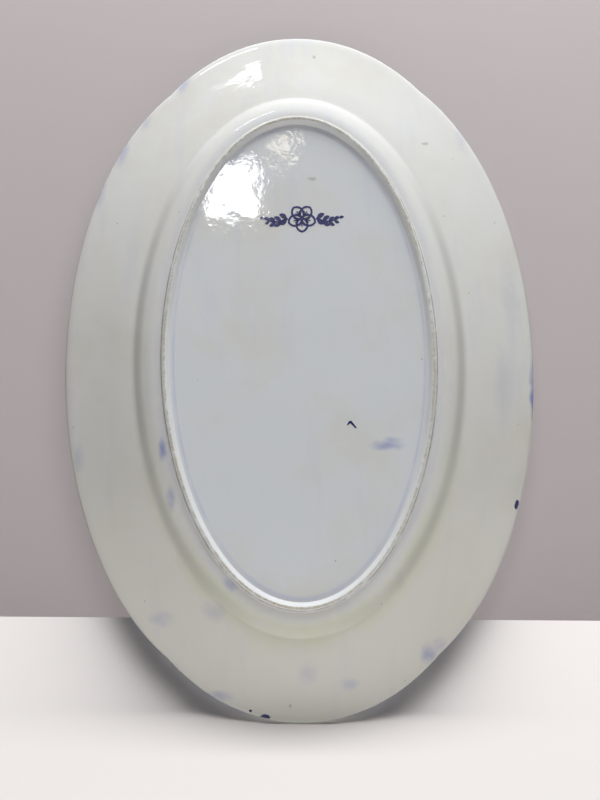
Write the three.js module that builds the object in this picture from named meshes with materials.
// An oval serving platter of glazed, printed earthenware, lying on its foot ring.
// Millimetres, +Z up. X runs along the platter and Y across it, and the origin is on the
// standing plane, under the middle. The well opens upwards, and the printed mark is underneath.
//
// The pressed clay body and the luted foot ring are swept round the oval from their sections.
// The transfer prints are thin films that follow the surface below them.

import * as THREE from 'three';
import { mergeGeometries } from 'three/addons/utils/BufferGeometryUtils.js';

// Driving dimensions
const LENGTH = 450;
const WIDTH = 305;
const HEIGHT = 36;
const FOOT_HEIGHT = 3.4;
const FOOT_BREADTH = 5.8;
const FLOOR_THICKNESS = 6.2;
const WALL_THICKNESS = 5.4;
const EDGE_THICKNESS = 4.6;
const FILM_THICKNESS = 0.3;
const CLEARANCE = 0.3;

// Ovals that shape the piece, as half lengths along Y (across) and X (along)
const FOOT_OVAL = { across: 84, along: 151.8 };
const FOOT_INSIDE = {
  across: FOOT_OVAL.across - FOOT_BREADTH,
  along: FOOT_OVAL.along - FOOT_BREADTH,
};
const CREASE_OVAL = { across: 103, along: 170 };
const EDGE_OVAL = { across: WIDTH / 2, along: LENGTH / 2 };
const CREASE_HEIGHT = 12.6;
const EDGE_HEIGHT = HEIGHT - 0.62 * EDGE_THICKNESS;
const EDGE_TOP = EDGE_OVAL.across - 0.6 * EDGE_THICKNESS;
const FLOOR_TOP = FOOT_HEIGHT + FLOOR_THICKNESS;
const SHOULDER = { across: CREASE_OVAL.across + 3, height: CREASE_HEIGHT + WALL_THICKNESS + 2.1 };

// The edge is drawn as two end lobes and two side lobes that meet at four soft corners
const LOBE_CORNER = THREE.MathUtils.degToRad(34);
const CORNER_DEPTH = 0.006;
const SIDE_FULLNESS = 0.054;

// Mesh fineness
const TURN_STEPS = 80;
const CURVE_STEPS = 4;

// Printed decoration
const BORDER_INNER = 109;
const BORDER_OUTER = 145;
const BORDER_SECTIONS = 4;
const SEAM_TURN = 0.003;
const CENTRE_PRINT = { across: 46, along: 78, lobes: 12, depth: 0.07 };
const MARK = { x: 85.5, y: 3, width: 47, flower: 8.5, leaf: 4.6, stem: 0.7, leaves: 3.5 };
const TALLY = { x: -41, y: 30, arm: 4.4, stroke: 1.2, spread: 0.8, shortShare: 0.5 };

// Finishes
const glaze = new THREE.MeshStandardMaterial({ color: 0xdde1e4, roughness: 0.12, metalness: 0 });
const footGlaze = new THREE.MeshStandardMaterial({ color: 0xe4e2d8, roughness: 0.2, metalness: 0 });
const cobalt = new THREE.MeshStandardMaterial({ color: 0x1d2c66, roughness: 0.15, metalness: 0 });
const paleCobalt = new THREE.MeshStandardMaterial({ color: 0x40599c, roughness: 0.15, metalness: 0 });

// Half length along X of the oval whose half length across is given
function alongFor(across) {
  const ovals = [{ across: 0, along: 0 }, FOOT_INSIDE, FOOT_OVAL, CREASE_OVAL, EDGE_OVAL];
  let k = 1;
  while (k < ovals.length - 1 && across > ovals[k].across) {
    k += 1;
  }
  const [inner, outer] = [ovals[k - 1], ovals[k]];
  const share = (across - inner.across) / (outer.across - inner.across);
  return THREE.MathUtils.lerp(inner.along, outer.along, share);
}

// How far the edge lies outside its plain oval, as a ratio, at an angle from the X axis
function lobeRatio(angle) {
  const folded = Math.acos(Math.min(1, Math.abs(Math.cos(angle))));
  if (folded < LOBE_CORNER) {
    return 1 - CORNER_DEPTH * (folded / LOBE_CORNER) ** 4;
  }
  const q = (folded - LOBE_CORNER) / (Math.PI / 2 - LOBE_CORNER);
  return 1 - CORNER_DEPTH * (1 - q) ** 4 + SIDE_FULLNESS * q * (1 - q) ** 2;
}

// A point of the platter, from its half length across, its angle from the X axis and its height
function ovalPoint(across, angle, height) {
  const share = THREE.MathUtils.smoothstep(across, CREASE_OVAL.across, EDGE_OVAL.across);
  const ratio = THREE.MathUtils.lerp(1, lobeRatio(angle), share);
  const x = alongFor(across) * ratio * Math.cos(angle);
  const y = across * ratio * Math.sin(angle);
  return new THREE.Vector3(x, y, height);
}

// Turns a lathed shape, whose radius stands for the half length across, into the oval one
function toOval(geometry) {
  const position = geometry.getAttribute('position');
  for (let i = 0; i < position.count; i += 1) {
    const across = Math.hypot(position.getX(i), position.getZ(i));
    const angle = Math.atan2(-position.getZ(i), position.getX(i));
    const point = ovalPoint(across, angle, position.getY(i));
    position.setXYZ(i, point.x, point.y, point.z);
  }
  geometry.computeVertexNormals();
  return geometry;
}

// Height of the rim's upper side, which slopes evenly from the shoulder of the well to the edge
function rimTop(across) {
  const share = (across - SHOULDER.across) / (EDGE_TOP - SHOULDER.across);
  return THREE.MathUtils.lerp(SHOULDER.height, HEIGHT, share);
}

// The upper side, from the edge down to the well floor
function topside() {
  const path = new THREE.Path();
  path.moveTo(EDGE_TOP, HEIGHT);
  path.lineTo(BORDER_OUTER, rimTop(BORDER_OUTER));
  path.lineTo(BORDER_INNER, rimTop(BORDER_INNER));
  path.quadraticCurveTo(SHOULDER.across, SHOULDER.height, SHOULDER.across - 4.6, SHOULDER.height - 4);
  path.quadraticCurveTo(94, FLOOR_TOP, FOOT_OVAL.across - 3, FLOOR_TOP);
  return path.getPoints(CURVE_STEPS);
}

// The under side of the body, from the middle out to the edge
function underside() {
  const path = new THREE.Path();
  path.moveTo(0, FOOT_HEIGHT);
  path.lineTo(FOOT_OVAL.across + 0.4, FOOT_HEIGHT);
  path.quadraticCurveTo(95, 5.4, CREASE_OVAL.across - 1.6, CREASE_HEIGHT - 1);
  const crease = CREASE_OVAL.across;
  path.quadraticCurveTo(crease, CREASE_HEIGHT + 0.3, crease + 4.2, CREASE_HEIGHT + 1.4);
  path.quadraticCurveTo(131, 24.6, EDGE_OVAL.across - 2.4, EDGE_HEIGHT - 1.9);
  path.quadraticCurveTo(EDGE_OVAL.across, EDGE_HEIGHT - 0.9, EDGE_OVAL.across, EDGE_HEIGHT + 0.4);
  return path.getPoints(CURVE_STEPS);
}

function bodyGeometry() {
  const top = topside();
  const edge = new THREE.QuadraticBezierCurve(
    new THREE.Vector2(EDGE_OVAL.across, EDGE_HEIGHT + 0.4),
    new THREE.Vector2(EDGE_OVAL.across - 0.3, HEIGHT),
    top[0],
  );
  const roundEdge = edge.getPoints(CURVE_STEPS).slice(1, -1);
  const middle = new THREE.Vector2(0, FLOOR_TOP);
  const section = [...underside(), ...roundEdge, ...top, middle];
  return toOval(new THREE.LatheGeometry(section, TURN_STEPS));
}

// A rounded bead with a flat standing face, stuck under the well
function footGeometry() {
  const outer = FOOT_OVAL.across;
  const inner = FOOT_INSIDE.across;
  const top = FOOT_HEIGHT - CLEARANCE;
  const round = 1.2;
  const bead = new THREE.Shape();
  bead.moveTo(inner, top);
  bead.lineTo(inner + 0.3, round);
  bead.quadraticCurveTo(inner + 0.4, 0, inner + round + 0.4, 0);
  bead.lineTo(outer - round - 0.4, 0);
  bead.quadraticCurveTo(outer - 0.4, 0, outer - 0.3, round);
  bead.lineTo(outer, top);
  const section = bead.getPoints(3);
  return toOval(new THREE.LatheGeometry([...section, section[0].clone()], TURN_STEPS));
}

// A film that lies on the upper side of the rim, over one of the stretches that share its turn
function borderGeometry(index) {
  const onRim = (across, lift) => new THREE.Vector2(across, rimTop(across) + lift);
  const section = [
    onRim(BORDER_INNER, CLEARANCE),
    onRim(BORDER_OUTER, CLEARANCE),
    onRim(BORDER_OUTER, CLEARANCE + FILM_THICKNESS),
    onRim(BORDER_INNER, CLEARANCE + FILM_THICKNESS),
  ];
  const share = (2 * Math.PI) / BORDER_SECTIONS;
  const steps = TURN_STEPS / BORDER_SECTIONS;
  const start = index * share;
  const turn = share - SEAM_TURN;
  const side = new THREE.LatheGeometry([...section, section[0].clone()], steps, start, turn);
  const startCap = new THREE.ShapeGeometry(new THREE.Shape(section));
  startCap.rotateY(start - Math.PI / 2);
  const endCap = new THREE.ShapeGeometry(new THREE.Shape(section));
  endCap.rotateY(start + turn - Math.PI / 2);
  endCap.setIndex([...endCap.getIndex().array].reverse());
  return toOval(mergeGeometries([side, startCap, endCap]));
}

// A closed outline round an oval, with shallow leaf-shaped lobes
function lobedOutline(along, across, lobes, depth) {
  const points = [];
  const steps = lobes * 6;
  for (let i = 0; i < steps; i += 1) {
    const angle = (2 * Math.PI * i) / steps;
    const reach = 1 - depth * (1 - Math.abs(Math.sin((lobes * angle) / 2)));
    points.push(new THREE.Vector2(along * reach * Math.cos(angle), across * reach * Math.sin(angle)));
  }
  return points;
}

function film(shape) {
  return new THREE.ExtrudeGeometry(shape, { depth: FILM_THICKNESS, bevelEnabled: false });
}

function centrePrintGeometry() {
  const { along, across, lobes, depth } = CENTRE_PRINT;
  return film(new THREE.Shape(lobedOutline(along, across, lobes, depth)));
}

// Half the breadth of the floral mark, at a distance along Y from its middle: a round flower
// between two leafy sprigs that taper to their tips
function markBreadth(y) {
  const { flower, leaf, stem, leaves } = MARK;
  const span = MARK.width / 2;
  const taper = Math.sqrt(Math.max(0, 1 - Math.abs(y) / span));
  const sprig = (stem + leaf * Math.abs(Math.sin((Math.PI * leaves * y) / span))) * taper;
  const round = Math.sqrt(Math.max(0, flower ** 2 - y ** 2));
  return Math.max(sprig, round);
}

function markGeometry() {
  const steps = 12 * MARK.leaves;
  const side = [];
  for (let i = 1; i < steps; i += 1) {
    const y = THREE.MathUtils.lerp(-MARK.width / 2, MARK.width / 2, i / steps);
    side.push(new THREE.Vector2(markBreadth(y), y));
  }
  const tip = (sign) => new THREE.Vector2(0, (sign * MARK.width) / 2);
  const mirrored = side.map((p) => new THREE.Vector2(-p.x, p.y)).reverse();
  return film(new THREE.Shape([tip(-1), ...side, tip(1), ...mirrored]));
}

// Two brush strokes, one short and one long, that meet at a point, as a worker's tally
function tallyGeometry() {
  const { arm, stroke, spread, shortShare } = TALLY;
  const reach = arm * Math.sin(spread / 2);
  const rise = arm * Math.cos(spread / 2);
  const tick = new THREE.Shape();
  tick.moveTo(0, 0);
  tick.lineTo(-rise * shortShare, -reach * shortShare - stroke / 2);
  tick.lineTo(-rise * shortShare, stroke / 2 - reach * shortShare);
  tick.lineTo(-stroke * 1.5, stroke / 2);
  tick.lineTo(-rise, reach);
  tick.lineTo(-rise, reach + stroke);
  tick.lineTo(0, stroke);
  return film(tick);
}

const platter = new THREE.Group();

function add(name, geometry, material, x = 0, y = 0, z = 0) {
  const mesh = new THREE.Mesh(geometry, material);
  mesh.name = name;
  mesh.position.set(x, y, z);
  platter.add(mesh);
}

add('clay_body', bodyGeometry(), glaze);
add('foot_ring', footGeometry(), footGlaze);

for (let i = 0; i < BORDER_SECTIONS; i += 1) {
  add(`border_print_${i + 1}`, borderGeometry(i), paleCobalt);
}

const filmUnder = FOOT_HEIGHT - CLEARANCE - FILM_THICKNESS;
add('centre_print', centrePrintGeometry(), paleCobalt, 0, 0, FLOOR_TOP + CLEARANCE);
add('backstamp_print', markGeometry(), cobalt, MARK.x, MARK.y, filmUnder);
add('tally_mark', tallyGeometry(), cobalt, TALLY.x, TALLY.y, filmUnder);

export default platter;
